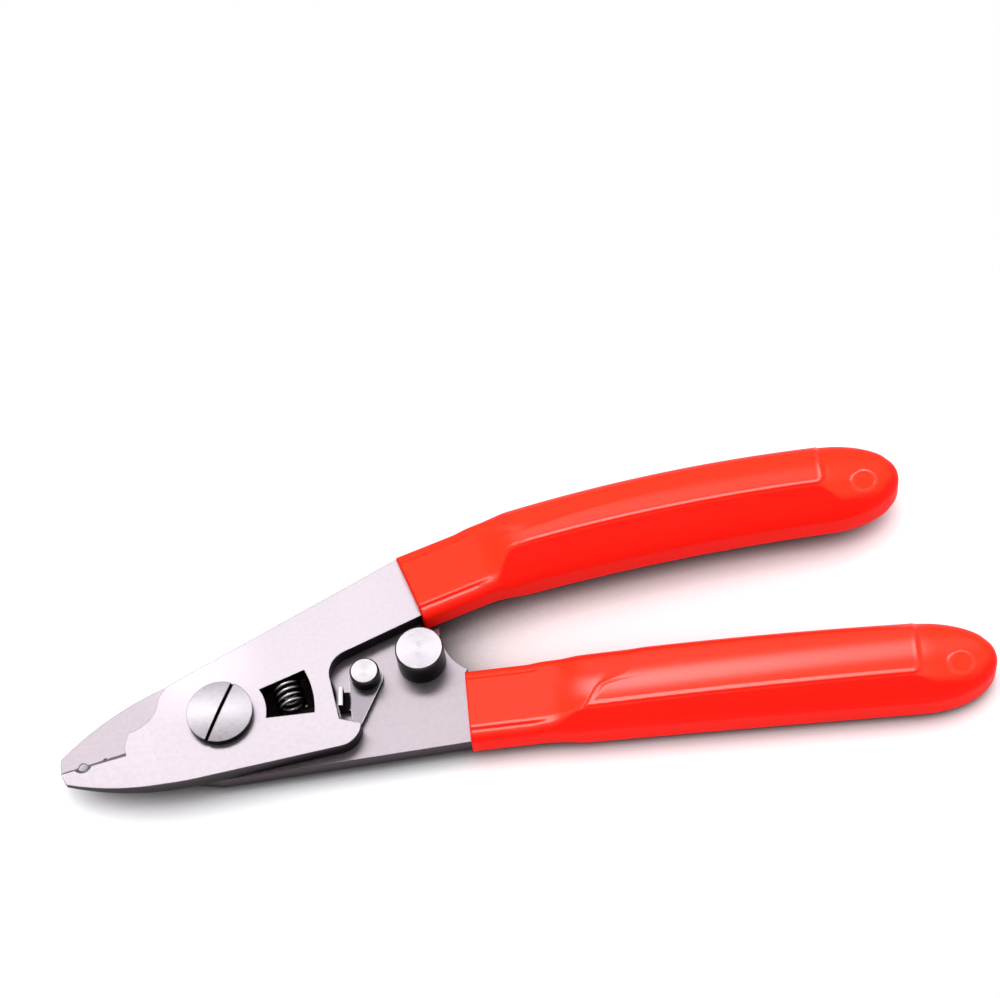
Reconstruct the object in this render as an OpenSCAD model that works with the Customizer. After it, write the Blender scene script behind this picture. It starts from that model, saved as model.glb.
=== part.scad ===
// Hand tool for stripping optical fibre: two flat steel halves that cross at a
// slotted pivot screw, with a return spring in a window, a swinging lock
// lever, a stop post and moulded grips.
// Origin on the pivot axis, on the surface that the closed tool lies on.
// +X runs back along the handles, +Z up through the pivot.

/* [Halves] */
// Thickness of each steel half
half_t = 3; // [2.4:0.1:3.6]
// Running gap between the faces of the two halves
half_gap = 0.05; // [0.03:0.01:0.1]
// Height of the lower half above the surface that the tool lies on
lift = 3; // [3:0.1:4]
// Angle of the cutting line below the tool's length
nose_angle = 15.8; // [12:0.2:18]
// Distance from the pivot to the jaws' outer curve
jaw_w = 10.8; // [10:0.1:12]
// Radius of the jaws' outer curve
jaw_r = 53; // [50:1:60]
// Distance from the pivot to the blunt end of the nose
nose_reach = 30; // [28:0.5:32]
// Radius of the blunt end of the nose
nose_end_r = 8; // [6:0.5:12]

/* [Blades] */
// Distance from the pivot at which the blades start
blade_root = 18; // [17.4:0.1:18.4]
// Lean of the wall at the blades' root
root_lean = 31; // [20:1:40]
// Radius of the hollow ahead of the web
hollow_r = 6.2; // [5.6:0.1:6.6]
// Distance from the pivot to the middle of the hollow
hollow_reach = 15.8; // [15.4:0.1:16.2]
// Distance from the cutting line to the middle of the hollow
hollow_off = 8.6; // [8.2:0.1:9]
// Distance from the pivot to the web's outer corner
shoulder_reach = 7.8; // [7:0.1:9]
// Distance from the cutting line to the web's outer corner
shoulder_off = 8.8; // [8:0.1:9.6]
// Length of the taper that leads to the shoulder
shoulder_run = 8; // [6:0.5:9]
// Distance from the pivot at which the jaws start to thin
taper_start = 13; // [11:0.5:15]
// Slope of the thinned outer face of the jaws
taper_angle = 7; // [5:0.5:7.5]
// Width of the ground bevel behind each cutting edge
bevel_w = 2.2; // [1.6:0.1:2.8]
// Thickness left at the cutting edge
edge_t = 0.35; // [0.25:0.05:0.5]
// Diameter of the outermost stripping hole, for the jacket
jacket_d = 1.7; // [1.2:0.1:2]
// Diameter of the middle stripping hole, for the buffer
buffer_d = 0.8; // [0.6:0.1:1]
// Diameter of the inner stripping hole, for the coating
coating_d = 0.35; // [0.25:0.05:0.5]
// Spread of the largest hole's countersink, to each mm of its depth
sink_spread = 0.9; // [0.6:0.05:1.1]
// Distance from the pivot to the jacket hole
jacket_reach = 26; // [25:0.1:26.6]
// Distance from the pivot to the buffer hole
buffer_reach = 21.9; // [21.4:0.1:22.6]
// Distance from the pivot to the coating hole
coating_reach = 19.15; // [19:0.05:19.8]

/* [Upper half] */
// Slope of the upper handle's arm
arm_angle = 24.2; // [23:0.2:25]
// Distance from the pivot line to the arm's inner edge
arm_inner = 1; // [0.6:0.1:1.6]
// Distance along the arm from the pivot to the grip
arm_reach = 40.5; // [40:0.5:43]
// Slope of the edge under the pivot
belly_angle = 9.9; // [8:0.1:11]
// Distance along that edge to the centre of the heel's round
heel_reach = 19.8; // [19.6:0.1:20.2]
// Radius of the heel's round
heel_r = 4.4; // [4.2:0.1:4.8]
// Slope of the heel's top, which the lock lever bears on
heel_slope = 15; // [13:0.5:17]
// Height of the heel's top above the centre of the heel's round
heel_top = 1.1; // [0.9:0.05:1.2]
// Distance from the pivot to the notch wall
notch_reach = 20.7; // [20.4:0.1:20.9]
// Lean of the notch wall
notch_lean = 11.8; // [10:0.2:13]
// Radius in the notch's corner
notch_r = 4.5; // [3.5:0.1:5]

/* [Lower half] */
// Slope of the lower half's bottom edge
back_angle = 5.6; // [4:0.2:7]
// Distance from the pivot line to that edge
back_w = 11.3; // [11:0.1:11.5]
// Distance along the tool from the pivot to the lower grip
back_reach = 43.9; // [43.5:0.1:46]
// Radius of the hollow between the web and the lower grip
web_r = 10; // [9:0.2:11]
// Position of that hollow's middle along the tool
web_hollow_x = 49; // [48:0.2:50]
// Position of that hollow's middle across the tool
web_hollow_y = 16; // [15:0.2:17]
// Clearance between the web and the upper grip
web_gap = 0.6; // [0.5:0.1:1]

/* [Spring window] */
// Inner radius of the window about the pivot
window_in = 8.2; // [8:0.1:8.6]
// Outer radius of the window about the pivot
window_out = 16.8; // [16.2:0.1:17]
// Direction of the window's middle in the closed upper half
window_angle = 12.8; // [11:0.2:14]
// Width of the window at its middle radius
window_w = 7.5; // [7:0.1:7.8]
// Spread of each end wall from the window's middle line
window_flare = 9.6; // [8:0.2:11]
// Opening angle at which the two windows line up
window_shift = 9; // [8:0.5:9.5]
// Outer diameter of the spring
spring_d = 5.4; // [4.8:0.1:5.6]
// Diameter of the spring wire
wire_d = 0.6; // [0.5:0.05:0.8]
// Number of turns
spring_turns = 4; // [3:1:4]
// Clearance between the spring's ends and the window's end walls
spring_gap = 0.1; // [0.05:0.05:0.2]

/* [Pivot] */
// Diameter of the pivot's shoulder, on which the upper half turns
pivot_d = 8; // [7:0.1:8.6]
// Running clearance all round the pivot's shoulder
pivot_gap = 0.05; // [0.02:0.01:0.1]
// Diameter of the pivot's threaded end
pivot_thread_d = 6; // [5:0.1:6.4]
// Diameter of the pivot's head
pivot_head_d = 11.8; // [11:0.1:12.4]
// Thickness of the pivot's head at its rim
pivot_head_t = 1.4; // [1.2:0.1:1.8]
// Rise of the head's dome above its rim
pivot_dome = 0.35; // [0.2:0.05:0.6]
// Width of the screwdriver slot
slot_w = 0.6; // [0.4:0.1:1]
// Depth of the screwdriver slot
slot_depth = 0.8; // [0.6:0.1:1.1]
// Direction of the slot
slot_angle = 68; // [0:1:180]
// Diameter of the washer under the nut
washer_d = 11; // [10:0.1:12]
// Thickness of the washer under the nut
washer_t = 0.5; // [0.3:0.1:0.8]
// Width of the pivot nut across its flats
nut_af = 10; // [9:0.5:10]

/* [Lock lever] */
// Position of the lever's rivet along the tool
rivet_x = 25.76; // [25.6:0.02:26]
// Position of the lever's rivet across the tool
rivet_y = 6.49; // [6.4:0.02:6.6]
// Diameter of the rivet's head
rivet_head_d = 5.3; // [4.6:0.1:5.6]
// Thickness of the rivet's head
rivet_head_t = 2.6; // [2:0.1:2.8]
// Diameter of the rivet's shank
rivet_d = 3.2; // [2.6:0.1:3.4]
// Thickness of the lever
lever_t = 1.2; // [1:0.1:1.4]
// Running clearance round and under the lever
lever_gap = 0.05; // [0.03:0.01:0.1]
// Radius of the lever's eye
eye_r = 3.1; // [2.9:0.1:3.3]
// Gap between the lever's tip and the heel's top
tip_gap = 0.25; // [0.2:0.05:0.4]
// Width of the lever at its tip
tip_w = 1; // [0.8:0.1:1.1]
// Height of the thumb tab above the lever's top
tab_h = 2.4; // [1.6:0.1:3]
// Length of the thumb tab
tab_len = 3.6; // [3:0.1:4]
// Thickness of the thumb tab
tab_t = 0.9; // [0.7:0.1:1]
// Swing of the lever when the tool is fully open
lever_swing = 82; // [70:1:84]

/* [Stop post] */
// Position of the post along the tool
post_x = 35.8; // [35.6:0.1:36.2]
// Position of the post across the tool
post_y = 9.54; // [9.2:0.02:9.8]
// Diameter of the post
post_d = 8.7; // [8.2:0.1:9]
// Height of the post above the lower half
post_h = 5.3; // [4:0.1:6]
// Chamfer round the post's top
post_chamfer = 0.25; // [0.1:0.05:0.5]
// Diameter of the post's threaded end
post_thread_d = 4; // [3:0.1:5]
// Width of the post's nut across its flats
post_nut_af = 7; // [6:0.5:8]
// Thickness of the post's nut
post_nut_t = 2.2; // [1.8:0.1:2.6]

/* [Grips] */
// Width of the grips' necks
neck_w = 14.2; // [13.4:0.1:15]
// Thickness of the grips' necks
neck_t = 6; // [5.6:0.1:7]
// Length of the grips' necks
neck_len = 14; // [12:0.5:15]
// Corner radius of the necks
neck_r = 2.2; // [1.5:0.1:2.6]
// Width of the grips' bodies at their middle
body_w = 15.9; // [15:0.1:16.8]
// Narrowing of the bodies toward both ends
body_crown = 0.7; // [0:0.1:1]
// Thickness of the grips' bodies
body_t = 10; // [9.4:0.1:11]
// Corner radius of the bodies
body_r = 3.3; // [3:0.1:4.5]
// Length of the shoulder between neck and body
shoulder_len = 5; // [4:0.5:7]
// Length of the rounded tips
tip_len = 13.5; // [11:0.5:16]
// Height of the grips' middle above the middle of their half
grip_rise = 0.5; // [0.3:0.1:0.6]
// Height of the lower neck's middle above the pivot
lower_across = -0.5; // [-0.8:0.1:0]
// Slope of the lower grip's neck
lower_neck = 3.1; // [2.6:0.1:3.6]
// Slope of the lower grip's body where its bend begins
lower_start = 2.6; // [2:0.1:3]
// Bend radius of the lower grip
lower_bend = 1400; // [1200:50:1600]
// Length of the lower grip along its middle line
lower_len = 93.6; // [88:0.2:100]
// Distance from the arm's pivot line to the upper neck's middle
upper_across = 6.6; // [6.5:0.1:7]
// Slope of the upper grip's neck
upper_neck = 20.5; // [20:0.1:22]
// Slope of the upper grip's body where its bend begins
upper_start = 14; // [13.5:0.1:15]
// Bend radius of the upper grip
upper_bend = 330; // [300:5:360]
// Length of the upper grip along its middle line
upper_len = 91.8; // [86:0.2:98]
// Width of the steel tangs inside the grips
tang_w = 9; // [8:0.1:10]
// Length of the tangs inside the grips
tang_len = 60; // [40:1:66]
// Clearance between the tangs and the grips
grip_fit = 0.03; // [0.02:0.01:0.05]
// Width of the flat land on top of each body
land_w = 6.4; // [5.6:0.1:6.4]
// Height of the land
land_rise = 0.4; // [0.3:0.05:0.7]
// Distance from the body's middle to the land's, away from the other grip
land_shift = 1.2; // [0:0.1:1.2]
// Width of the sloping ledge round the land
land_ledge = 0.4; // [0.2:0.05:0.6]
// Distance from the shoulder to the land
land_start = 0.5; // [0:0.5:3]
// Distance from the land to the tip of the grip
land_end = 10.6; // [10.2:0.2:14]

/* [Hidden] */
$fn = 96;
eps = 0.01;
big = 200;

steel_bright = "gainsboro";
steel_grey = "silver";
grip_red = "orangered";

// Levels of the sliding faces
lower_top = lift + half_t;
upper_bottom = lower_top + half_gap;
upper_top = upper_bottom + half_t;

// Unit vector at an angle, and its left-hand normal
function dir(a) = [cos(a), sin(a)];
function left(a) = [-sin(a), cos(a)];
// Blend of two values, and an even rise from 0 to 1
function mix(a, b, k) = a + (b - a) * k;
function ease(x) = let(u = min(1, max(0, x))) u * u * (3 - 2 * u);
// Point where two lines cross, each given by a point and a direction
function cross_at(p, a, q, b) =
    let(d = dir(a), e = dir(b), k = d[0] * e[1] - d[1] * e[0],
        t = ((q[0] - p[0]) * e[1] - (q[1] - p[1]) * e[0]) / k)
    p + t * d;

// Nose, in a frame whose x runs along the cutting line to the tip
nose_dir = 180 + nose_angle;
jaw_peak = 1.5;
// Centre of the upper half's outer jaw curve, in the tool's frame
jaw_centre = jaw_peak * dir(nose_dir) + (jaw_w - jaw_r) * left(nose_dir);
// Edge under the pivot, tangent to that curve
belly_out = -left(belly_angle);
belly_off = jaw_centre * belly_out + jaw_r;
belly_start = jaw_centre + jaw_r * belly_out;
heel_c = heel_reach * dir(belly_angle) + (belly_off - heel_r) * belly_out;

// Arm of the upper half
arm_dir = dir(arm_angle);
arm_left = left(arm_angle);
upper_c = arm_reach * arm_dir + upper_across * arm_left;
arm_in_end = cross_at(arm_inner * arm_left, arm_angle, upper_c, 90 + upper_neck);
arm_out_end = upper_c + neck_w / 2 * left(upper_neck);
shoulder_tip = shoulder_reach * dir(nose_dir) - shoulder_off * left(nose_dir);
shoulder_foot = shoulder_reach * dir(nose_dir) + shoulder_off * left(nose_dir);

// Notch in the upper half
wall_dir = 90 + notch_lean;
wall_foot = [notch_reach, 0];
notch_corner = cross_at(wall_foot, wall_dir, arm_inner * arm_left, arm_angle);
notch_turn = wall_dir - arm_angle;
notch_tangent = notch_r * tan(notch_turn / 2);
notch_t1 = notch_corner - notch_tangent * dir(wall_dir);
notch_t2 = notch_corner + notch_tangent * arm_dir;
notch_c = notch_t2 - notch_r * arm_left;
heel_edge = heel_c + [0, heel_top];
heel_root = cross_at(heel_edge, -heel_slope, wall_foot, wall_dir);

// Lower half
back_out = -left(back_angle);
back_start = cross_at(back_w * back_out, back_angle, belly_start, belly_angle);
lower_c = [back_reach, lower_across];
back_end = cross_at(back_w * back_out, back_angle, lower_c, 90 + lower_neck);
lower_out_end = lower_c + neck_w / 2 * left(lower_neck);
web_hollow_c = [web_hollow_x, web_hollow_y];
// Inner corner of the upper grip's cut end, with its clearance
web_corner = upper_c - (neck_w / 2 + web_gap) * left(upper_neck) - web_gap * dir(upper_neck);

// Window
window_mid = (window_in + window_out) / 2;

// Levels of the lock lever and its rivet
lever_bottom = lower_top + lever_gap;
lever_top = lever_bottom + lever_t;
rivet_c = [rivet_x, rivet_y];

// Grips
lower_z = lift + half_t / 2 + grip_rise;
upper_z = upper_bottom + half_t / 2 + grip_rise;
// Course of a grip's middle line: [cut end's centre, neck slope, bend's first
// slope, bend radius, whole length, outer side: 1 to the left, -1 to the right]
LOWER = [lower_c, lower_neck, lower_start, lower_bend, lower_len, -1];
UPPER = [upper_c, upper_neck, upper_start, upper_bend, upper_len, 1];
body_from = neck_len + shoulder_len;
function neck_end(g) = g[0] + neck_len * dir(g[1]);
function bend_from(g) = neck_end(g) + shoulder_len * dir((g[1] + g[2]) / 2);
function bend_c(g) = bend_from(g) - g[3] * left(g[2]);
// Slope and place of the middle line at a length s from the cut end
function bend_slope(g, s) = g[2] - (s - body_from) / g[3] * 180 / PI;
function slope_at(g, s) = s <= neck_len ? g[1]
    : s < body_from ? mix(g[1], g[2], (s - neck_len) / shoulder_len) : bend_slope(g, s);
function point_at(g, s) = s <= neck_len ? g[0] + s * dir(g[1])
    : s < body_from ? mix(neck_end(g), bend_from(g), (s - neck_len) / shoulder_len)
    : bend_c(g) + g[3] * left(bend_slope(g, s));

// ---------- flat outlines ----------

// Outline that both jaws share, closed, about the cutting line
module nose_2d() {
    intersection() {
        translate([jaw_peak, jaw_w - jaw_r]) circle(jaw_r, $fn = 360);
        translate([jaw_peak, jaw_r - jaw_w]) circle(jaw_r, $fn = 360);
        union() {
            translate([nose_reach - nose_end_r, 0]) circle(nose_end_r);
            translate([-jaw_w, -big / 2]) square([nose_reach - nose_end_r + jaw_w, big]);
        }
    }
}

// One half's share of the nose: its jaw, and the web beyond the cutting line
module nose_half_2d() {
    hollow_c = [hollow_reach, -hollow_off];
    difference() {
        nose_2d();
        polygon([[blade_root, 0], [big, 0], [big, -big], [shoulder_reach - shoulder_run, -big],
                 [shoulder_reach - shoulder_run, -jaw_w], [shoulder_reach, -shoulder_off],
                 hollow_c + hollow_r * dir(166), hollow_c,
                 [blade_root - hollow_off / 2 * tan(root_lean), -hollow_off / 2]]);
        translate(hollow_c) circle(hollow_r);
    }
}

// Rhombic mouth with a round centre, for one stripping hole
module strip_hole_2d(reach, d) {
    translate([reach, 0]) {
        circle(d = d, $fn = 48);
        polygon([[-0.8 * d, 0], [0, -0.45 * d], [0.8 * d, 0], [0, 0.45 * d]]);
    }
}

// One stripping hole, countersunk from the bevelled face
module strip_hole(reach, d) {
    translate([0, 0, -1]) linear_extrude(half_t + 2) strip_hole_2d(reach, d);
}

module strip_holes() {
    strip_hole(jacket_reach, jacket_d);
    strip_hole(buffer_reach, buffer_d);
    strip_hole(coating_reach, coating_d);
    translate([jacket_reach, 0, edge_t])
        cylinder(d1 = jacket_d, d2 = jacket_d + 2 * sink_spread * half_t, h = half_t);
}

// Grinding of one jaw, in the nose frame: thinned face and cutting bevel
module jaw_grinding() {
    translate([taper_start, 0, half_t]) rotate([0, taper_angle, 0])
        translate([0, -big / 2, 0]) cube([big, big, big]);
    translate([blade_root, 0, edge_t]) rotate([atan((half_t - edge_t) / bevel_w), 0, 0])
        translate([0, -big / 2, 0]) cube([big, big, big]);
}

// Nose half with its grinding; the cutting edge lies in the plane z = 0
module nose_half() {
    difference() {
        linear_extrude(half_t) nose_half_2d();
        jaw_grinding();
        strip_holes();
    }
}

// Window for the spring, about the pivot, its middle along +x
module window_2d() {
    intersection() {
        difference() {
            circle(window_out, $fn = 180);
            circle(window_in, $fn = 120);
        }
        polygon([for (s = [1, -1], x = s > 0 ? [0, 25] : [25, 0])
                 [x, s * (window_w / 2 + (x - window_mid) * tan(window_flare))]]);
    }
}

// Region ahead of the blade's root, kept clear by both blanks
module blade_zone_2d() {
    rotate(nose_dir) translate([shoulder_reach, -big / 2]) square([big, big]);
}

// Blank of the upper half behind its nose
module upper_blank_2d() {
    difference() {
        union() {
            polygon([belly_start, heel_c + heel_r * belly_out, heel_c,
                     heel_c + [heel_r, 0], arm_in_end, arm_out_end, shoulder_tip]);
            translate(heel_c) circle(heel_r);
        }
        blade_zone_2d();
    }
}

// Clear space over the heel, in which the lock lever swings
module notch_2d() {
    polygon([heel_root, notch_t1, notch_c, notch_t2, notch_t2 + big * arm_dir,
             heel_root + big * dir(-heel_slope)]);
    translate(notch_c) circle(notch_r);
}

// Strip of width w along a grip's middle line, from a lead ahead of the cut
// end to a length end past it
module strip_2d(g, w, end, lead) {
    at = concat([-lead, neck_len], [for (i = [0 : 8]) mix(body_from, end, i / 8)]);
    n = len(at);
    polygon([for (i = [0 : 2 * n - 1])
        let(s = at[i < n ? i : 2 * n - 1 - i], side = i < n ? -w / 2 : w / 2)
        point_at(g, s) + side * left(slope_at(g, s))]);
}

// Blank of the lower half behind its nose
module lower_blank_2d() {
    difference() {
        polygon([back_start, back_end, lower_out_end, web_hollow_c,
                 web_corner + neck_w / 2 * dir(upper_neck), web_corner,
                 web_corner + neck_w / 4 * left(upper_neck),
                 [rivet_x - 2 * eye_r, jaw_w + eye_r + 2], [2, jaw_w], shoulder_tip, shoulder_foot]);
        translate(web_hollow_c) circle(web_r);
        blade_zone_2d();
    }
}

// ---------- steel halves ----------

module upper_half() {
    color(steel_bright) difference() {
        union() {
            translate([0, 0, upper_bottom]) rotate(nose_dir) nose_half();
            translate([0, 0, upper_bottom]) linear_extrude(half_t) {
                difference() {
                    upper_blank_2d();
                    notch_2d();
                }
                strip_2d(UPPER, tang_w, tang_len, 1);
            }
        }
        translate([0, 0, upper_bottom - 1]) {
            cylinder(d = pivot_d + 2 * pivot_gap, h = half_t + 2);
            rotate(window_angle) linear_extrude(half_t + 2) window_2d();
        }
    }
}

module lower_half() {
    color(steel_grey) difference() {
        union() {
            translate([0, 0, lower_top]) rotate(nose_dir) mirror([0, 1, 0])
                mirror([0, 0, 1]) nose_half();
            translate([0, 0, lift]) linear_extrude(half_t) {
                lower_blank_2d();
                strip_2d(LOWER, tang_w, tang_len, 1);
            }
        }
        translate([0, 0, lift - 1]) {
            cylinder(d = pivot_thread_d, h = half_t + 2);
            rotate(window_angle + window_shift) linear_extrude(half_t + 2) window_2d();
            translate(rivet_c) cylinder(d = rivet_d, h = half_t + 2);
            translate([post_x, post_y]) cylinder(d = post_thread_d, h = half_t + 2);
        }
    }
}

// ---------- pivot ----------

module pivot_screw() {
    head_z = upper_top + half_gap;
    rim = pivot_head_d / 2;
    dome_r = (rim * rim + pivot_dome * pivot_dome) / (2 * pivot_dome);
    color(steel_bright) difference() {
        union() {
            translate([0, 0, head_z]) cylinder(r = rim, h = pivot_head_t);
            translate([0, 0, head_z + pivot_head_t]) intersection() {
                translate([0, 0, pivot_dome - dome_r]) sphere(dome_r, $fn = 180);
                cylinder(r = rim, h = pivot_dome + 1);
            }
            translate([0, 0, lower_top]) cylinder(d = pivot_d, h = head_z - lower_top + eps);
            cylinder(d = pivot_thread_d, h = lower_top + eps);
        }
        translate([0, 0, head_z + pivot_head_t + pivot_dome - slot_depth]) rotate(slot_angle)
            translate([-rim - 1, -slot_w / 2, 0]) cube([2 * rim + 2, slot_w, slot_depth + 1]);
    }
}

module pivot_washer() {
    color(steel_grey) translate([0, 0, lift - washer_t]) difference() {
        cylinder(d = washer_d, h = washer_t);
        translate([0, 0, -1]) cylinder(d = pivot_thread_d, h = washer_t + 2);
    }
}

// Hexagonal nut with a chamfered crown, standing from z = 0
module hex_nut(af, h, bore) {
    difference() {
        intersection() {
            cylinder(d = af / cos(30), h = h, $fn = 6);
            union() {
                translate([0, 0, 0.08 * af]) cylinder(d = af / cos(30), h = h);
                cylinder(d1 = af * 0.96, d2 = af / cos(30) + eps, h = 0.08 * af);
            }
        }
        translate([0, 0, -1]) cylinder(d = bore, h = h + 2);
    }
}

module pivot_nut() {
    color(steel_grey) hex_nut(nut_af, lift - washer_t, pivot_thread_d);
}

// ---------- spring ----------

// Closed tube of circular section swept along a helix about +z
module coil(d, wire, turns, h) {
    mean = (d - wire) / 2;
    steps = 20 * turns;
    sides = 8;
    rise = (h - wire) / steps;
    lean = atan((h - wire) / (turns * 2 * PI * mean));
    points = [for (i = [0 : steps], k = [0 : sides - 1])
        let(a = 360 * i * turns / steps, b = 360 * k / sides,
            r = mean + wire / 2 * cos(b), up = wire / 2 * sin(b))
        [r * cos(a) + up * sin(lean) * sin(a), r * sin(a) - up * sin(lean) * cos(a),
         wire / 2 + i * rise + up * cos(lean)]];
    walls = [for (i = [0 : steps - 1], k = [0 : sides - 1])
        let(n = (k + 1) % sides, a = i * sides, b = a + sides)
        [a + k, a + n, b + n, b + k]];
    caps = [[for (k = [sides - 1 : -1 : 0]) k],
            [for (k = [0 : sides - 1]) steps * sides + k]];
    polyhedron(points, concat(walls, caps), convexity = 8);
}

module opening_spring() {
    middle = window_angle + window_shift / 2;
    room = window_w - 2 * window_mid * sin(window_shift / 2) - 2 * spring_gap;
    color(steel_bright) rotate(middle)
        translate([window_mid, -room / 2, upper_bottom - half_gap / 2])
            rotate([-90, 0, 0]) coil(spring_d, wire_d, spring_turns, room);
}

// ---------- lock lever ----------

// Plan of the lever: an eye round the rivet and a leg that bears on the heel
module lever_2d() {
    tip_r = heel_edge + (rivet_x - 1 - heel_edge[0]) / cos(heel_slope) * dir(-heel_slope)
        + tip_gap * left(-heel_slope);
    tip_l = tip_r - tip_w * dir(-heel_slope);
    translate(rivet_c) circle(eye_r);
    polygon([rivet_c + eye_r * dir(-20), tip_r, tip_l, [rivet_x - 2.56, tip_l[1] + 1.3],
             rivet_c + eye_r * dir(190)]);
}

module lock_lever() {
    color(steel_bright) difference() {
        union() {
            translate([0, 0, lever_bottom]) linear_extrude(lever_t) {
                lever_2d();
                translate([rivet_x - 4.75, 0.1]) square([2.6, tab_len]);
            }
            translate([rivet_x - 4.75, 0.1, lever_top - eps])
                cube([tab_t, tab_len, tab_h + eps - tab_t / 2]);
            translate([rivet_x - 4.75 + tab_t / 2, 0.1, lever_top + tab_h - tab_t / 2])
                rotate([-90, 0, 0]) cylinder(d = tab_t, h = tab_len, $fn = 48);
        }
        translate([rivet_x, rivet_y, lever_bottom - 1])
            cylinder(d = rivet_d + 2 * lever_gap, h = lever_t + 2);
    }
}

module lever_rivet() {
    upset_t = 1;
    color(steel_bright) translate(rivet_c) {
        translate([0, 0, lever_top + lever_gap]) difference() {
            cylinder(d = rivet_head_d, h = rivet_head_t);
            rotate_extrude() polygon([[rivet_head_d / 2 - 0.3, rivet_head_t + eps],
                [rivet_head_d / 2 + eps, rivet_head_t - 0.3 - eps],
                [rivet_head_d / 2 + eps, rivet_head_t + eps]]);
        }
        translate([0, 0, lift - eps]) cylinder(d = rivet_d, h = lever_top + lever_gap - lift + 2 * eps);
        translate([0, 0, lift - upset_t]) cylinder(d1 = rivet_head_d - 1.2, d2 = rivet_head_d, h = upset_t);
    }
}

// ---------- stop post ----------

module stop_post() {
    color(steel_bright) translate([post_x, post_y, 0]) {
        translate([0, 0, lower_top]) cylinder(d = post_d, h = post_h - post_chamfer);
        translate([0, 0, lower_top + post_h - post_chamfer])
            cylinder(d1 = post_d, d2 = post_d - 2 * post_chamfer, h = post_chamfer);
        translate([0, 0, lift - post_nut_t]) cylinder(d = post_thread_d, h = half_t + post_nut_t + eps);
    }
}

module stop_nut() {
    color(steel_grey) translate([post_x, post_y, lift - post_nut_t])
        hex_nut(post_nut_af, post_nut_t, post_thread_d);
}

// ---------- grips ----------

// Lengths from the cut end at which a grip's section is laid, with the land's
// round ends and the tip in finer steps
function stations(g) =
    let(land = land_w / 2, from = body_from + land_start, to = g[4] - land_end)
    concat([0, neck_len], [for (i = [1 : 5]) neck_len + shoulder_len * i / 5],
           [for (a = [0 : 22.5 : 90]) from + land * (1 - cos(a))],
           [for (i = [1 : 7]) mix(from + land, to - land, i / 7)],
           [for (a = [22.5 : 22.5 : 90]) to - land + land * sin(a)],
           [for (a = [14 : 14 : 84]) to + land_end * sin(a)]);

// Half width of the land at a length s from the cut end
function land_at(g, s) =
    let(land = land_w / 2, from = body_from + land_start + land, to = g[4] - land_end - land,
        out = min(land, max(0, from - s, s - to)))
    sqrt(land * land - out * out);

// Section of a grip at a length s: a rounded rectangle that widens past the
// neck and closes at the tip, with the land raised on its upper side
function section(g, s) =
    let(k = ease((s - neck_len) / shoulder_len),
        off = 2 * (s - (body_from + g[4]) / 2) / (g[4] - body_from),
        tip = max(0, 1 - (g[4] - s) / tip_len), edge = max(0, 1 - (g[4] - s) / body_r),
        half = mix(neck_w, body_w - body_crown * off * off, k) / 2 * sqrt(1 - tip * tip),
        high = mix(neck_t, body_t, k) / 2 - body_r * (1 - sqrt(1 - edge * edge)),
        r = min(mix(neck_r, body_r, k), 0.8 * half, 0.8 * high),
        corner = function(y, z, a) [for (i = [0 : 5])
            [y * (half - r), z * (high - r)] + r * dir(a + 18 * i)],
        room = 0.99 * (half - r), open = land_at(g, s), mid = g[5] * min(land_shift, room / 3),
        rim = min(max(open, land_ledge * 1.5), room - abs(mid)),
        in = rim - min(land_ledge, rim / 2), level = high + (open > 0.01 ? land_rise : 0))
    concat(corner(1, 1, 0),
           [[mid + rim, high], [mid + in, level], [mid - in, level], [mid - rim, high]],
           corner(-1, 1, 90), corner(-1, -1, 180), corner(1, -1, 270));

// Solid of one grip, lofted through its sections about z = 0
module grip_body(g) {
    at = stations(g);
    n = len(section(g, 0));
    points = [for (s = at, q = section(g, s))
        let(p = point_at(g, s) + q[0] * left(slope_at(g, s))) [p[0], p[1], q[1]]];
    walls = [for (i = [0 : len(at) - 2], k = [0 : n - 1])
        let(m = (k + 1) % n, a = i * n, b = a + n)
        each [[a + k, b + m, a + m], [a + k, b + k, b + m]]];
    caps = [[for (k = [0 : n - 1]) k],
            [for (k = [n - 1 : -1 : 0]) (len(at) - 1) * n + k]];
    polyhedron(points, concat(walls, caps), convexity = 8);
}

// Moulded grip over the tang of its half, whose lower face is at tang_z
module grip(g, z, tang_z) {
    color(grip_red) difference() {
        translate([0, 0, z]) grip_body(g);
        translate([0, 0, tang_z - grip_fit]) linear_extrude(half_t + 2 * grip_fit)
            strip_2d(g, tang_w + 2 * grip_fit, tang_len + grip_fit, 1);
    }
}

module lower_grip() {
    grip(LOWER, lower_z, lift);
}

module upper_grip() {
    grip(UPPER, upper_z, upper_bottom);
}

lower_half();
upper_half();
pivot_screw();
pivot_washer();
pivot_nut();
opening_spring();
lock_lever();
lever_rivet();
stop_post();
stop_nut();
lower_grip();
upper_grip();
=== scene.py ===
"""Looks of a fibre stripper: ground and turned steel, a wire spring and moulded vinyl grips."""

from math import cos, pi, radians, sin

import bpy
import numpy as np
from mathutils import Matrix, Vector


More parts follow.
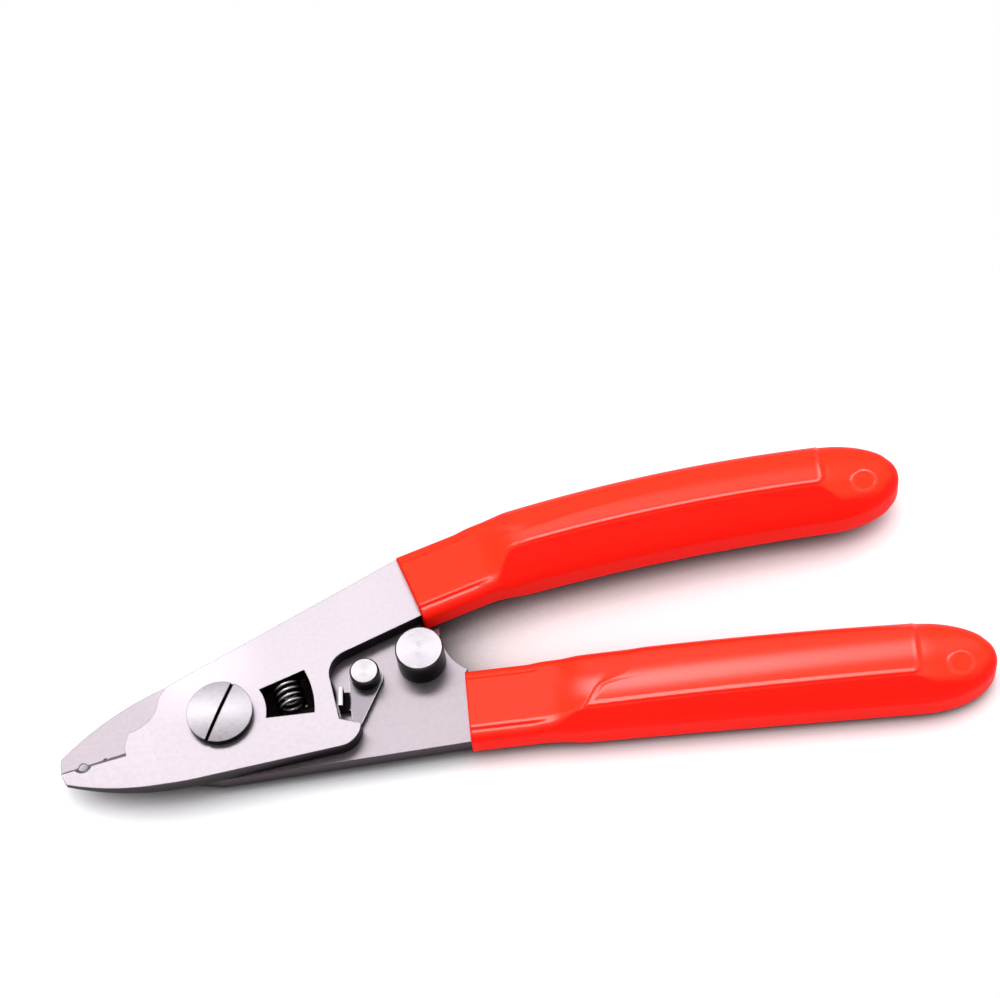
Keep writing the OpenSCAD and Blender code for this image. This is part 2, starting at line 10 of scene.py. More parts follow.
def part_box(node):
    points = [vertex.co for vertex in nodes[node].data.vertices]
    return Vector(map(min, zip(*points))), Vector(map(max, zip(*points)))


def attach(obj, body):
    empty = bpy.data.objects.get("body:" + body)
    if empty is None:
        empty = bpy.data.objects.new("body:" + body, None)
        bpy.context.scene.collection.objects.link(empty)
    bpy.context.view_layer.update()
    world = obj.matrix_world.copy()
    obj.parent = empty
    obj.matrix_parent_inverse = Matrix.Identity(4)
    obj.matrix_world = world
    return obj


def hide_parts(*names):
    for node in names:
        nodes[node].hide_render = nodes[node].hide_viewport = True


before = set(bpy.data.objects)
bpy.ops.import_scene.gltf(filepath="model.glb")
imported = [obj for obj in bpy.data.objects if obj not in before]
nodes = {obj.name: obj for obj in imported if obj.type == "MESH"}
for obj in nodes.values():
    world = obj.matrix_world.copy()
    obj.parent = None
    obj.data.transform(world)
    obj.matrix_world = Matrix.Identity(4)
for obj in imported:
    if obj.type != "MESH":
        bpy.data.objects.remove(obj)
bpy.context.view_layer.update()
MM = 0.001


# ---------- shader maths ----------

class Socket:
    """A shader value that takes part in sums: each operator adds a Math node."""

    def __init__(self, shader, socket):
        self.shader, self.socket = shader, socket

    def _math(self, operation, a, b=0.0):
        return self.shader.add("ShaderNodeMath", {"operation": operation}, {0: a, 1: b})

    def __add__(self, other): return self._math("ADD", self, other)
    def __radd__(self, other): return self._math("ADD", other, self)
    def __sub__(self, other): return self._math("SUBTRACT", self, other)
    def __rsub__(self, other): return self._math("SUBTRACT", other, self)
    def __mul__(self, other): return self._math("MULTIPLY", self, other)
    def __rmul__(self, other): return self._math("MULTIPLY", other, self)
    def __truediv__(self, other): return self._math("DIVIDE", self, other)
    def __pow__(self, other): return self._math("POWER", self, other)
    def __abs__(self): return self._math("ABSOLUTE", self)
    def sine(self): return self._math("SINE", self)

    def step(self, low, high):
        """0 below low, 1 above high, with a smooth rise between them."""
        return self.shader.add("ShaderNodeMapRange", {"interpolation_type": "SMOOTHSTEP"},
                               {0: self, 1: low, 2: high, 3: 0.0, 4: 1.0})


class Shader:
    """One material's or world's node tree."""

    def __init__(self, owner):
        owner.use_nodes = True
        self.tree = owner.node_tree
        self.tree.nodes.clear()

    def add(self, kind, settings=None, inputs=None, output=0):
        """Adds a node, sets it up, then fills its inputs with values or links."""
        node = self.tree.nodes.new(kind)
        for name, value in (settings or {}).items():
            if name == "stops":
                ramp = node.color_ramp
                while len(ramp.elements) < len(value):
                    ramp.elements.new(0.5)
                for element, (place, tone) in zip(ramp.elements, value):
                    element.position, element.color = place, (*tone, 1)
            else:
                setattr(node, name, value)
        for name, value in (inputs or {}).items():
            if isinstance(value, Socket):
                self.tree.links.new(value.socket, node.inputs[name])
            elif value is not None:
                node.inputs[name].default_value = value
        return Socket(self, node.outputs[output] if node.outputs else None)

    def place(self):
        """Object coordinates, in metres."""
        return self.add("ShaderNodeTexCoord", output="Object")

    def axis(self, vector, name):
        return self.add("ShaderNodeSeparateXYZ", inputs={0: vector}, output=name)

    def noise(self, scale, detail=4.0, roughness=0.5, vector=None):
        return self.add("ShaderNodeTexNoise", inputs={
            "Vector": vector or self.place(), "Scale": scale, "Detail": detail,
            "Roughness": roughness}, output="Fac")

    def stretch(self, scale, turn=(0, 0, 0), shift=(0, 0, 0)):
        """Object coordinates, shifted, turned and scaled along each axis."""
        return self.add("ShaderNodeMapping", {"vector_type": "POINT"}, {
            "Vector": self.place(), "Location": shift, "Rotation": turn, "Scale": scale})

    def mix(self, factor, a, b):
        """Blend of two colours."""
        mixed = self.tree.nodes.new("ShaderNodeMix")
        mixed.data_type = "RGBA"
        for index, value in ((0, factor), (6, a), (7, b)):
            if isinstance(value, Socket):
                self.tree.links.new(value.socket, mixed.inputs[index])
            else:
                mixed.inputs[index].default_value = (*value, 1) if index else value
        return Socket(self, mixed.outputs[2])

    def scale(self, colour, gain):
        return self.add("ShaderNodeVectorMath", {"operation": "SCALE"}, {0: colour, "Scale": gain})

    def lean(self):
        """How far the surface faces along +X."""
        return self.axis(self.add("ShaderNodeNewGeometry", output="Normal"), "X")

    def up(self):
        """How far the surface faces up: 1 on level tops, 0 on walls, -1 underneath."""
        normal = self.add("ShaderNodeNewGeometry", output="Normal")
        return self.axis(normal, "Z")

    def bump(self, height, distance, strength=1.0, normal=None):
        return self.add("ShaderNodeBump", inputs={
            "Height": height, "Distance": distance, "Strength": strength, "Normal": normal})

    def round_edges(self, radius):
        """Normals that soften the sharp edges by a small radius."""
        return self.add("ShaderNodeBevel", {"samples": 6}, {"Radius": radius})

    def surface(self, **inputs):
        """Principled surface from socket names written with _ for spaces."""
        named = {name.replace("_", " "): value for name, value in inputs.items()}
        colour = named.get("Base Color")
        if isinstance(colour, tuple):
            named["Base Color"] = (*colour, 1)
        shade = self.add("ShaderNodeBsdfPrincipled", inputs=named)
        self.add("ShaderNodeOutputMaterial", inputs={"Surface": shade})


def material(name):
    made = bpy.data.materials.new(name)
    return made, Shader(made)


# ---------- steel ----------

UPPER_TINT = (0.44, 0.40, 0.43)
LOWER_TINT = (0.43, 0.385, 0.415)
LEVER_TINT = (0.22, 0.20, 0.22)
TURNED_TINT = (0.34, 0.32, 0.34)
# Colour of steel walls: partly the sheared edge's darker finish, partly painted shade
SHADED_WALL_TINT = (0.066, 0.047, 0.060)
WINDOW_PLACE = (0.01325, 0.0030)
TAB_FOOT = (0.0223, 0.0017)
SEAM_PLACE = (-0.0225, -0.0040)
# Centre of a painted highlight, a paler patch on the steel faces
PAINTED_HIGHLIGHT_PLACE = (-0.0040, 0.0110)
# Colour of painted shade, in the spring's pocket and on the turned sides
PAINTED_SHADE = (0.006, 0.005, 0.006)
# Colour of the deepest painted shade, on the lever and on low level faces of turned parts
PAINTED_DEEP_SHADE = (0.004, 0.003, 0.004)


def times(colour, gain):
    return tuple(gain * part for part in colour)


def rising(sh, base, span):
    """0 at the height base, 1 a span above it."""
    return sh.axis(sh.place(), "Z").step(base, base + span)


def disc(sh, centre, radius, fade):
    """1 within a radius of an upright line, 0 outside it."""
    x = sh.axis(sh.place(), "X") - centre[0]
    y = sh.axis(sh.place(), "Y") - centre[1]
    return 1 - ((x * x + y * y) ** 0.5).step(radius - fade, radius)


def ground_steel(name, tint, base, grain_turn, roughness, painted_tilt_gain, pocket, pocket_top):
    """Sheet steel: satin ground faces with faint grain, mottling and a painted highlight, a paler
    patch of the face colour; walls painted dark, partly for the sheared finish and partly as
    painted shade, darkest at the bottom and lightening above the height base; a painted light
    gain on the tapered jaw's tilted face; walls as pale as the faces at the blades' seam, without
    the painted shade there; and painted shade on the walls within the radius of the spring's
    pocket, where level faces take it by the share pocket_top."""
    made, sh = material(name)
    grain = sh.noise(1.0, 3.0, 0.6, sh.stretch((120, 5200, 900), (0, 0, grain_turn)))
    mottle = sh.noise(900, 4.0, 0.65)
    cloud = sh.noise(60, 2.0)
    seam = disc(sh, SEAM_PLACE, 6 * MM, 0.5 * MM)
    face = abs(sh.up()).step(0.55, 0.9) * (1 - seam) + seam
    shine = 0.05 * grain + 0.10 * mottle + 0.05 * cloud
    shade = (mottle * 0.6 + grain * 0.25 + cloud * 0.15).step(0.38, 0.62)
    bright = sh.mix(shade, times(tint, 0.90), times(tint, 1.04))
    # Painted highlight: a paler disc of the face colour
    bright = sh.mix(0.6 * disc(sh, PAINTED_HIGHLIGHT_PLACE, 15 * MM, 13 * MM), bright, times(tint, 1.3))
    # Painted light: a gain brightens the upper jaw's tilted face and darkens the lower jaw's
    tilted = (0 - sh.lean()).step(0.01, 0.03) * sh.up().step(0.9, 0.95)
    bright = sh.mix(tilted, bright, sh.scale(bright, painted_tilt_gain))
    # Painted shade: walls darkest at the bottom, lightening above the height base
    streak = sh.noise(1.0, 4.0, 0.7, sh.stretch((900, 900, 260)))
    lift = rising(sh, base, 2.6 * MM) * 0.8 + 0.2 * streak
    wall = sh.mix(lift, times(SHADED_WALL_TINT, 0.15), times(SHADED_WALL_TINT, 1.35))
    colour = sh.mix(face, wall, bright)
    # Painted shade in the spring's pocket: walls, and level faces by the given share, go near
    # black
    dark = disc(sh, WINDOW_PLACE, pocket, 0.6 * MM) * (1 - face * (1 - pocket_top))
    colour = sh.mix(dark, colour, PAINTED_SHADE)
    soft = sh.round_edges(0.16 * MM)
    relief = sh.bump(mottle * 0.7 + grain * 0.3, 0.012 * MM, 0.5, soft)
    sh.surface(Base_Color=colour, Metallic=1.0, Roughness=roughness - 0.08 + shine, Normal=relief)
    return made


def lever_steel(name, tint, base):
    """Pressed sheet with a painted highlight on the edges of its top and on the tab, walls with
    painted shade that is deepest at the bottom, and a painted shadow at the foot of the tab."""
    made, sh = material(name)
    mottle = sh.noise(1000, 4.0, 0.6)
    normal = sh.add("ShaderNodeNewGeometry", output="Normal")
    soft = sh.round_edges(0.3 * MM)
    turn = sh.add("ShaderNodeVectorMath", {"operation": "DOT_PRODUCT"}, {0: normal, 1: soft},
                  output="Value")
    top = sh.up().step(0.6, 0.9)
    # Painted highlight: near-white colour on the edges of the top
    edge_highlight = (1 - turn).step(0.04, 0.12) * top
    # Painted shade: the walls darkest at the bottom
    wall = sh.mix(rising(sh, base, 3 * MM), PAINTED_DEEP_SHADE, (0.05, 0.045, 0.05))
    flat = sh.mix(mottle.step(0.3, 0.7), times(tint, 0.9), times(tint, 1.06))
    # Painted shadow: a near-black oval beside the tab's foot
    x = (sh.axis(sh.place(), "X") - TAB_FOOT[0]) / (0.9 * MM)
    y = (sh.axis(sh.place(), "Y") - TAB_FOOT[1]) / (3.1 * MM)
    clear = ((x * x + y * y) ** 0.5).step(0.7, 1.05)
    # Painted highlight on the up-facing parts of the tab
    tab = rising(sh, base + 2.2 * MM, 0.4 * MM)
    edge_highlight = edge_highlight * clear * (1 - tab) + tab * sh.up().step(0.2, 0.6)
    flat = sh.mix(clear, PAINTED_DEEP_SHADE, flat)
    colour = sh.mix(edge_highlight, sh.mix(top, wall, flat), (0.93, 0.90, 0.93))
    sh.surface(Base_Color=colour, Metallic=1 - 0.9 * edge_highlight, Roughness=0.3 + 0.1 * mottle,
               Normal=sh.bump(mottle, 0.008 * MM, 0.5))
    return made


def turned_steel(name, centre, base, height, floor):
    """Turned steel: fine rings about the piece's own axis, sides with painted shade that deepens
    over a height down to the base, and painted shade on level faces below the height of the floor."""
    made, sh = material(name)
    spot = sh.stretch((1, 1, 1), shift=(-centre[0], -centre[1], 0))
    x, y = sh.axis(spot, "X"), sh.axis(spot, "Y")
    radius = (x * x + y * y) ** 0.5
    rings = (radius * (2 * pi / (0.11 * MM))).sine()
    mottle = sh.noise(1100, 4.0, 0.6)
    face = abs(sh.up()).step(0.55, 0.9)
    # Painted shade: the sides are darker than the top, and darkest at the base
    side = sh.mix(rising(sh, base, height), PAINTED_SHADE, times(TURNED_TINT, 0.42))
    top = sh.mix(mottle.step(0.3, 0.6), times(TURNED_TINT, 0.9), TURNED_TINT)
    # Painted shade on level faces below the given height
    top = sh.mix(rising(sh, floor - 0.1 * MM, 0.2 * MM), PAINTED_DEEP_SHADE, top)
    soft = sh.round_edges(0.14 * MM)
    relief = sh.bump(rings * 0.35 + mottle, 0.006 * MM, 0.6, soft)
    sh.surface(Base_Color=sh.mix(face, side, top), Metallic=1.0,
               Roughness=0.24 + 0.1 * mottle, Normal=relief)
    return made


def spring_wire(name):
    """Drawn wire with a painted highlight where it faces up and painted shade below."""
    made, sh = material(name)
    draw = sh.noise(1800, 3.0)
    # Painted light: near white on the up-facing wire, near black below
    lit = sh.up().step(0.35, 0.8)
    sh.surface(Base_Color=sh.mix(lit, (0.02, 0.017, 0.02), (0.95, 0.91, 0.94)), Metallic=1.0,
               Roughness=0.26 + 0.1 * draw, Normal=sh.bump(draw, 0.004 * MM, 0.4))
    return made


def middle_of(node):
    low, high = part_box(node)
    return (low + high) / 2


def dress(node, finish):
    """Gives a part of the tool its finish."""
    nodes[node].data.materials.clear()
    nodes[node].data.materials.append(finish)


dress("upper_half", ground_steel("upper_half_steel", UPPER_TINT, 7.0 * MM, radians(24), 0.36,
                                 1.2, 6.2 * MM, 0.0))
dress("lower_half", ground_steel("lower_half_steel", LOWER_TINT, 3.0 * MM, radians(5), 0.40,
                                 0.78, 7.5 * MM, 1.0))
dress("lock_lever", lever_steel("lever_steel", LEVER_TINT, 6.05 * MM))
for piece, base, height, floor in (
        ("pivot_screw", 9.9, 1.6, 10.35), ("pivot_washer", 2.0, 1.0, 0.0),
        ("pivot_nut", 0.0, 2.5, 0.0), ("lever_rivet", 8.2, 2.4, 0.0),
        ("stop_post", 8.6, 4.0, 0.0), ("stop_nut", 0.8, 2.0, 0.0)):
    dress(piece, turned_steel(piece + "_steel", middle_of(piece), base * MM, height * MM,
                              floor * MM))


# ---------- surfaces from grids ----------

def ease(x):
    """Smooth rise from 0 to 1."""
    u = np.clip(x, 0.0, 1.0)
    return u * u * (3 - 2 * u)


def grid_piece(name, points):
    """Piece over a grid of points (rows, columns, 3); rows close on themselves, and the
    first and last rows are capped."""
    rows, columns = points.shape[:2]
    index = np.arange(rows * columns).reshape(rows, columns)
    following = np.roll(index, -1, axis=1)
    quads = np.stack([index[:-1], following[:-1], following[1:], index[1:]], -1).reshape(-1, 4)
    faces = quads.tolist() + [index[0][::-1].tolist(), index[-1].tolist()]
    mesh = bpy.data.meshes.new(name)
    mesh.from_pydata(points.reshape(-1, 3).tolist(), [], faces)
    mesh.polygons.foreach_set("use_smooth", [True] * len(mesh.polygons))
    mesh.update()
    piece = bpy.data.objects.new(name, mesh)
    bpy.context.scene.collection.objects.link(piece)
    return piece


def fit(piece, finish, body, node):
    """Gives a new piece its finish, and puts it on its body in place of a part."""
    piece.data.materials.append(finish)
    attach(piece, body)
    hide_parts(node)


# ---------- spring ----------

WINDOW_ANGLE, WINDOW_SHIFT = radians(12.8), radians(9)
WINDOW_REACH, WINDOW_W = 12.5, 7.5
WIRE, COIL, TURNS, END_GAP = 0.6, 5.4, 4, 0.1


def spring():
    """Wire of round section along an even helix, across the window between its end walls."""
    low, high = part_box("opening_spring")
    middle = WINDOW_ANGLE + WINDOW_SHIFT / 2
    out = np.array((cos(middle), sin(middle), 0.0))
    across = np.array((-sin(middle), cos(middle), 0.0))
    centre = WINDOW_REACH * MM * out + np.array((0.0, 0.0, (low.z + high.z) / 2))
    room = WINDOW_W - 2 * WINDOW_REACH * sin(WINDOW_SHIFT / 2) - 2 * END_GAP
    t = np.linspace(0, 1, 96 * TURNS)
    turn = 2 * pi * TURNS * t
    rise = (t - 0.5) * (room - WIRE) * MM
    radial = np.cos(turn)[:, None] * out - np.sin(turn)[:, None] * np.array((0.0, 0.0, 1.0))
    path = centre + (COIL - WIRE) / 2 * MM * radial + rise[:, None] * across
    tangent = np.gradient(path, axis=0)
    tangent /= np.linalg.norm(tangent, axis=1)[:, None]
    side = np.cross(tangent, radial)
    angle = np.linspace(0, 2 * pi, 20, endpoint=False)[None, :, None]
    ring = np.cos(angle) * radial[:, None] + np.sin(angle) * side[:, None]
    piece = grid_piece("spring_coil", path[:, None] + WIRE / 2 * MM * ring)
    fit(piece, spring_wire("drawn_wire"), "lower", "opening_spring")


# ---------- grips ----------

# Widths, thicknesses and corner radii, and lengths along the grip, in mm
NECK_W, NECK_T, NECK_R, NECK_LEN = 14.2, 6.0, 1.5, 14.0
BODY_W, BODY_T, BODY_R, NARROWING = 15.9, 10.0, 3.3, 0.7
SHOULDER, TIP = 5.0, 13.5
BODY_FROM = NECK_LEN + SHOULDER
# The land stands on the rounded top, and ends short of the tip, before the tip's ring
LAND_FROM, LAND_RISE, LAND_END, LAND_CORNER = 30.0, 0.30, 13.6, 1.6
CROWN_R, CROWN_SLOPE, CROWN_LIFT = 34.0, 0.12, 0.05
RING_R, RING_RISE, RING_END, RING_Y = 2.7, 0.09, 6.6, -1.9
NECK_STEP, NECK_STEP_Y = 0.4, 4.75
# Places across the grip where the painted sheen, a paler top colour, starts, at the neck and past
# the shoulder
NECK_EDGE, BODY_EDGE = -6.0, -4.6


def heading(angle):
    """Direction in plan at an angle from +X."""
    return np.stack([np.cos(angle), np.sin(angle)], -1)


class Course:
    """Middle line of one grip: a straight neck, a blended shoulder and a bend. The land's
    edge lies between the two places given and rises over a run at its start; the rounded
    top is highest at the crest, and its sheen is given as a share of full gloss."""

    def __init__(self, cut, neck, start, bend, length, level, edges, crests, run, sheen):
        self.cut, self.neck, self.start = np.array(cut), radians(neck), radians(start)
        self.bend, self.length, self.level = bend, length, level
        self.edges, self.crests, self.run, self.sheen = edges, crests, run, sheen
        self.neck_end = self.cut + NECK_LEN * heading(self.neck)
        self.body = self.neck_end + SHOULDER * heading((self.neck + self.start) / 2)
        self.centre = self.body - bend * heading(self.start + pi / 2)

    def drawn(self, places, along):
        """Place across the grip of a line drawn between two places along the land."""
        share = (along - LAND_FROM) / (self.length - LAND_END - LAND_FROM)
        return places[0] + (places[1] - places[0]) * share

    def slope(self, s):
        """Direction of the middle line at the length s."""
        k = np.clip((s - NECK_LEN) / SHOULDER, 0, 1)
        turned = np.clip(s - BODY_FROM, 0, None) / self.bend
        return self.neck + (self.start - self.neck) * k - turned

    def point(self, s):
        """Place in plan of the middle line at the length s."""
        k = np.clip((s - NECK_LEN) / SHOULDER, 0, 1)[:, None]
        neck = self.cut + np.minimum(s, NECK_LEN)[:, None] * heading(self.neck)
        blend = neck + k * (self.body - self.neck_end)
        bend = self.centre + self.bend * heading(self.slope(s) + pi / 2)
        return np.where((s > BODY_FROM)[:, None], bend, blend)


ARM_ANGLE, ARM_REACH, ARM_Y = radians(24.2), 40.5, 6.6
ARM_END = ARM_REACH * heading(ARM_ANGLE) + ARM_Y * heading(ARM_ANGLE + pi / 2)
LOWER = Course(cut=(43.9, -0.5), neck=3.1, start=2.6, bend=1400, length=93.6, level=5.0,
               edges=(-4.35, -3.5), crests=(-0.5, 1.1), run=0.5, sheen=0.9)
UPPER = Course(cut=ARM_END, neck=20.5, start=14.0, bend=330, length=91.8, level=8.05,
               edges=(-1.6, -1.6), crests=(1.4, 1.4), run=9.0, sheen=0.2)


def land_rise(course, along, y):
    """Height of the rounded top, and how much of it is lip. The land is raised inside three
    lines: its edge, its end, with a round corner between them, and its slanted start, which
    fades out past the crest. The lip is a level band just inside the edge, the end and,
    where the run is short, the start."""
    near, end = y - course.drawn(course.edges, along), course.length - LAND_END - along
    off = y - course.drawn(course.crests, along)
    start = (along - BODY_FROM - 1 - 0.72 * near) * 0.81 / (1 + 8 * ease(off / 2.5))
    to_near, to_end = LAND_CORNER - near, LAND_CORNER - end
    corner = np.hypot(np.maximum(to_near, 0), np.maximum(to_end, 0))
    inside = LAND_CORNER - corner - np.minimum(np.maximum(to_near, to_end), 0)
    if course.run < 1:
        inside = np.minimum(inside, start)
    ramp = ease(start / course.run + 0.5)
    lip = ease((inside - 0.28) / 0.14) * (1 - ease((inside - 0.95) / 0.3)) * ramp
    lip = lip * np.where(start < np.minimum(near, end), 1 - ease(off / 1.5), 1)
    level = np.where(near < np.minimum(start, end), crown(off - near + 0.6), 0.15)
    level = np.where(end < np.minimum(near, start), crown(off), level)
    fall = (1 - lip) * crown(off) + lip * (level - 0.06)
    return CROWN_LIFT + LAND_RISE * ease(inside / 0.4) * ramp - fall, lip


def crown(off):
    """Fall of the rounded top at a distance from its ridge: an arc, then a steady slope."""
    arc = CROWN_R * CROWN_SLOPE
    far = np.abs(off)
    return np.minimum(far, arc) ** 2 / (2 * CROWN_R) + CROWN_SLOPE * np.maximum(far - arc, 0)


def ring_rise(course, along, y):
    """Height of the round rim near the tip, from its distance inside the ring's outer edge."""
    inside = RING_R - np.hypot(along - (course.length - RING_END), y - RING_Y)
    return RING_RISE * (ease(inside / 0.35) - ease((inside - 0.75) / 0.35))


# The corners of a grip's section in turn: their signs across and up, and the number of
# points along the flat that follows each
CORNERS = (((1, 1), 120), ((-1, 1), 5), ((-1, -1), 20), ((1, -1), 5))


def section(half, high, r):
    """Rounded rectangle at each length, as grids of places across and up: a quarter circle
    at each corner, and a row of points along the flat to the next."""
    flat = np.stack([half - r, high - r], -1)[:, None]
    r = r[:, None, None]
    around = []
    for turn, (signs, fill) in enumerate(CORNERS):
        quarter = flat * signs + r * heading(np.linspace(0, pi / 2, 22) + turn * pi / 2)
        onward = flat * CORNERS[(turn + 1) % 4][0] + r * heading((turn + 1) * pi / 2)
        last = quarter[:, -1:]
        around += [quarter, last + (onward - last) * np.linspace(0, 1, fill + 2)[1:-1, None]]
    around = np.concatenate(around, 1)
    return around[..., 0], around[..., 1]


def grip_surface(course):
    """A rounded rectangle carried along the course: it widens and thickens past the neck,
    narrows a little toward its ends and closes as an ellipse at the tip. Its rounded top
    carries the land and the ring, and steps down along the neck's edges."""
    neck = np.linspace(0, NECK_LEN, 30, endpoint=False)
    body = np.linspace(NECK_LEN, course.length - TIP, 250, endpoint=False)
    tip = course.length - TIP + TIP * np.sin(np.linspace(0, radians(88.6), 70))
    s = np.concatenate([neck, body, tip])
    widened = ease((s - NECK_LEN) / SHOULDER)
    thickened = ease((s - NECK_LEN + 1) / 8)
    off = 2 * (s - (BODY_FROM + course.length) / 2) / (course.length - BODY_FROM)
    in_tip = np.clip(1 - (course.length - s) / TIP, 0, 1)
    in_edge = np.clip(1 - (course.length - s) / BODY_R, 0, 1)
    half = (NECK_W + (BODY_W - NARROWING * off ** 2 - NECK_W) * widened) / 2
    half = half * np.sqrt(1 - in_tip ** 2)
    high = (NECK_T + (BODY_T - NECK_T) * thickened) / 2 - BODY_R * (1 - np.sqrt(1 - in_edge ** 2))
    r = np.minimum(NECK_R + (BODY_R - NECK_R) * widened, 0.85 * np.minimum(half, high))
    y, z = section(half, high, r)
    along = s[:, None] + 0 * y
    land, lip = land_rise(course, along, y)
    ring = ring_rise(course, along, y)
    step = ease((np.abs(y) - NECK_STEP_Y) / 0.4) * ease((NECK_LEN - 0.5 - along) / 2.5)
    top = ease((z - 0.2 * high[:, None]) / (0.5 * high[:, None]))
    z = z + top * (widened[:, None] * (land + ring) - NECK_STEP * step)
    sideways = heading(course.slope(s) + pi / 2)[:, None]
    plan = course.point(s)[:, None] + y[..., None] * sideways
    points = np.concatenate([plan, course.level + z[..., None]], -1) * MM
    return points, *grip_tones(course, along, y, lip, ring)


def grip_tones(course, along, y, lip, ring):
    """Shares of painted sheen, a paler top colour, and of gloss. The painted sheen lies past a
    line that follows the neck's edge, the shoulder, the land's edge and the tip. The gloss is full
    on the lip, the ring and the neck's edges, the course's sheen on the land, and low elsewhere."""
    body = ease((along - NECK_LEN) / 6)
    span = body * (1 - ease((along - course.length + LAND_END + 2) / 5))
    edge = NECK_EDGE + (BODY_EDGE - NECK_EDGE) * body
    edge = edge + (course.drawn(course.edges, along) - BODY_EDGE) * span
    # The share of painted sheen
    lit = ease((y - edge) / (1.8 - 1.4 * span) + 0.5)
    neck = ease((y + 4.35) / 0.2) * ease((BODY_FROM + 4 - along) / 5)
    tip = ease((along - course.length + LAND_END + 1) / 4)
    sheen = course.sheen * (1 - 0.25 * ease((along - LAND_FROM) / 40))
    dull = 1 - (1 - 0.9 * neck) * (1 - 0.8 * tip) * sheen
    plain = (1 - lip) * (1 - ease(ring / (0.8 * RING_RISE))) * ease((y + 4.7) / 0.3)
    return lit, lit * (1 - dull * plain)


def vinyl(name):
    """Moulded vinyl: glossy on top, with a painted sheen of paler colour there, richer and duller
    on the sides, and painted shade where it turns under. The piece carries the values lit, the
    share of painted sheen, and gloss."""
    made, sh = material(name)
    peel = sh.noise(420, 2.0, 0.4)
    fine = sh.noise(2600, 3.0, 0.6)
    cloud = sh.noise(45, 3.0)
    lit, gloss = (sh.add("ShaderNodeAttribute", {"attribute_name": title}, output="Fac")
                  for title in ("lit", "gloss"))
    side = sh.mix(cloud, (0.96, 0.008, 0.003), (0.99, 0.011, 0.004))
    down = 0 - sh.up()
    # Painted shade: a dark band where the surface turns under
    underside_shade = down.step(0.22, 0.45) * (1 - down.step(0.6, 0.75))
    side = sh.mix(underside_shade, side, (0.42, 0.006, 0.008))
    # Painted sheen: the top, past the line carried by lit, takes a paler colour
    colour = sh.mix(sh.up().step(0.55, 1.0) * lit, side, (0.98, 0.040, 0.012))
    sh.surface(Base_Color=colour, Roughness=0.38 + 0.08 * cloud + 0.05 * fine,
               Normal=sh.bump(peel + 0.15 * fine, 0.006 * MM, 0.35), Specular_IOR_Level=0.05,
               Coat_Weight=0.04 + 0.96 * sh.up().step(0.4, 0.95) * gloss, Coat_Roughness=0.12)
    return made


def grip(name, node, body, course, finish):
    points, lit, gloss = grip_surface(course)
    piece = grid_piece(name, points)
    # lit carries the share of painted sheen
    for title, values in (("lit", lit), ("gloss", gloss)):
        layer = piece.data.attributes.new(title, "FLOAT", "POINT")
        layer.data.foreach_set("value", values.reshape(-1).astype(np.float32))
    fit(piece, finish, body, node)


spring()
red_vinyl = vinyl("red_vinyl")
grip("lower_grip_moulding", "lower_grip", "lower", LOWER, red_vinyl)
grip("upper_grip_moulding", "upper_grip", "upper", UPPER, red_vinyl)


# ---------- stage ----------

# Reach in X and Y of the floor that keeps the shadows, and the width of its fading border
NEAR_BOX, BORDER = ((-0.035, 0.150), (-0.030, 0.062)), 0.03
FLOOR_HALF = 6.0


def stage_floor():
    """Pale floor that keeps the shadows near the tool, with painted shade from ambient occlusion
    where the tool stands close over it, and shows as white away from the tool."""
    mesh = bpy.data.meshes.new("floor")
    corners = ((-1, -1), (1, -1), (1, 1), (-1, 1))
    mesh.from_pydata([(x * FLOOR_HALF, y * FLOOR_HALF, 0) for x, y in corners], [], [(0, 1, 2, 3)])
    floor = bpy.data.objects.new("floor", mesh)
    bpy.context.scene.collection.objects.link(floor)
    made, sh = material("pale_floor")
    beyond = []
    for axis, (low, high) in zip("XY", NEAR_BOX):
        off = abs(sh.axis(sh.place(), axis) - (low + high) / 2)
        beyond.append(off.step((high - low) / 2, (high - low) / 2 + BORDER))
    away = beyond[0] + beyond[1] - beyond[0] * beyond[1]
    open_sky = sh.add("ShaderNodeAmbientOcclusion", {"samples": 16}, {"Distance": 0.02},
                      output="AO")
    seen = sh.add("ShaderNodeLightPath", output="Is Camera Ray")
    paper = sh.mix(seen, (0.93, 0.925, 0.93), (1.20, 1.19, 1.21))
    # Painted shade: the floor's colour darkens where ambient occlusion finds the tool close above
    paper = sh.mix(open_sky.step(0.14, 0.76), (0.010, 0.003, 0.004), paper)
    diffuse = sh.add("ShaderNodeBsdfDiffuse", inputs={"Color": paper})
    white = sh.add("ShaderNodeEmission", inputs={"Color": (1, 1, 1, 1), "Strength": 1.0})
    blend = sh.add("ShaderNodeMixShader", inputs={0: seen * away, 1: diffuse, 2: white})
    sh.add("ShaderNodeOutputMaterial", inputs={"Surface": blend})
    mesh.materials.append(made)


def lamp(name, place, aim, size, power):
    """Soft square lamp, left out of reflections."""
    data = bpy.data.lights.new(name, "AREA")
    data.shape, data.size, data.energy = "SQUARE", size, power
    light = bpy.data.objects.new(name, data)
    light.location = place
    light.rotation_euler = (Vector(aim) - Vector(place)).to_track_quat("-Z", "Y").to_euler()
    light.visible_glossy = False
    bpy.context.scene.collection.objects.link(light)


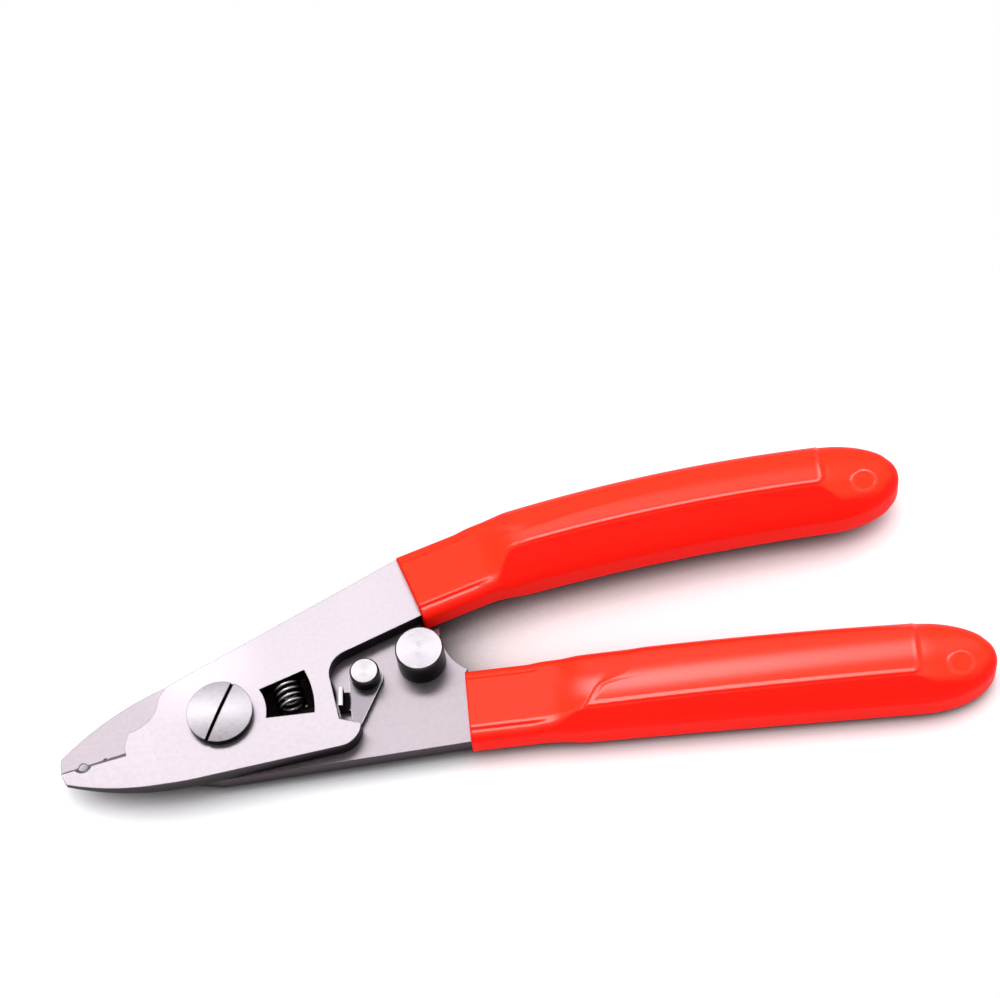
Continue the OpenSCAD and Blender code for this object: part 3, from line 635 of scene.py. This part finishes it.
def world_light():
    """Soft surroundings: plain white to the camera; in reflections dim at the front and low
    down, bright overhead, with a long soft box tipped away from the camera."""
    world = bpy.data.worlds.new("studio")
    bpy.context.scene.world = world
    sh = Shader(world)
    way = sh.add("ShaderNodeTexCoord", output="Generated")
    width, depth, height = (sh.axis(way, name) for name in "XYZ")
    mirrored = sh.add("ShaderNodeValToRGB", {"stops": [
        (0.0, (0.14, 0.13, 0.15)), (0.35, (0.22, 0.21, 0.23)), (0.62, (0.40, 0.39, 0.41)),
        (0.84, (0.55, 0.54, 0.55))]}, {0: height})
    front = 1 - 0.6 * (0 - depth).step(-0.1, 0.25)
    box = (1 - abs(depth - 0.47).step(0.03, 0.13)) * (1 - abs(width + 0.24).step(0.28, 0.46))
    strength = 1.05 * front + 11.0 * box * height.step(0.4, 0.6)
    soft = sh.add("ShaderNodeBackground", inputs={"Color": (1, 0.995, 1, 1), "Strength": 1.0})
    glossy = sh.add("ShaderNodeBackground", inputs={"Color": mirrored, "Strength": strength})
    white = sh.add("ShaderNodeBackground", inputs={"Color": (1, 1, 1, 1), "Strength": 1.0})
    in_mirror = sh.add("ShaderNodeLightPath", output="Is Glossy Ray")
    seen = sh.add("ShaderNodeLightPath", output="Is Camera Ray")
    lit = sh.add("ShaderNodeMixShader", inputs={0: in_mirror, 1: soft, 2: glossy})
    blend = sh.add("ShaderNodeMixShader", inputs={0: seen, 1: lit, 2: white})
    sh.add("ShaderNodeOutputWorld", inputs={"Surface": blend})


def camera():
    """Camera that looks down on the tool from ahead of its lower grip."""
    azimuth, elevation, roll = radians(5.79), radians(58.671), radians(-9.04)
    target = Vector((50.79, 44.25, 3.0)) * MM
    distance = 490.98 * MM
    right = Vector((cos(azimuth), sin(azimuth), 0))
    back = Vector((sin(azimuth) * cos(elevation), -cos(azimuth) * cos(elevation), sin(elevation)))
    up = back.cross(right)
    rolled_right = right * cos(roll) + up * sin(roll)
    rolled_up = up * cos(roll) - right * sin(roll)
    turn = Matrix((rolled_right, rolled_up, back)).transposed().to_4x4()
    data = bpy.data.cameras.new("camera")
    data.sensor_width, data.lens = 36, 94.41
    data.clip_start, data.clip_end = 0.01, 20
    eye = bpy.data.objects.new("camera", data)
    eye.matrix_world = Matrix.Translation(target + distance * back) @ turn
    bpy.context.scene.collection.objects.link(eye)
    bpy.context.scene.camera = eye


stage_floor()
lamp("overhead_soft", (0.03, 0.10, 0.60), (0.05, 0.02, 0), 0.30, 0.7)
world_light()
camera()
bpy.context.scene.view_settings.view_transform = "Standard"
